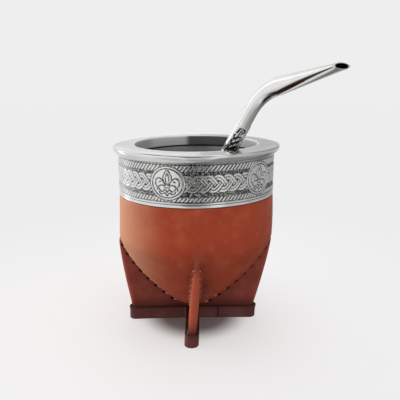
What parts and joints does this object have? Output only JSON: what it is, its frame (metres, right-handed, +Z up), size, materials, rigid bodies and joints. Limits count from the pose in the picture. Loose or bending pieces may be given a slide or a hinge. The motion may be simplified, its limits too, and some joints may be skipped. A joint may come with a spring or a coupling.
{
  "type": "mate gourd cup with straw",
  "caption": "Leather covered mate gourd on a cross of four leather fins, with an ornate metal ring, a steel liner and a bent metal straw",
  "frame": {"origin": "the middle of the foot cross, on the surface the cup stands on", "axes": "+Z up, the front faces -Y, the straw leans out to +X and -Y"},
  "size_m": [0.103, 0.1147, 0.1377],
  "materials": {
    "ring_metal": "polished nickel silver, dark oxidised in the relief",
    "liner_steel": "satin steel",
    "bowl_leather": "smooth waxed tan leather",
    "fin_leather": "smooth red brown leather with burnished edges",
    "belt_leather": "dark brown leather with burnished edges",
    "straw_metal": "polished metal, engraved and darkened near the mouth"
  },
  "bodies": {
    "root": {"ring": "ring_metal", "liner": "liner_steel", "leather_bowl": "bowl_leather", "fin_front": "fin_leather", "fin_right": "fin_leather", "fin_back": "fin_leather", "fin_left": "fin_leather", "belt": "belt_leather", "straw": "straw_metal"}
  },
  "joints": []
}
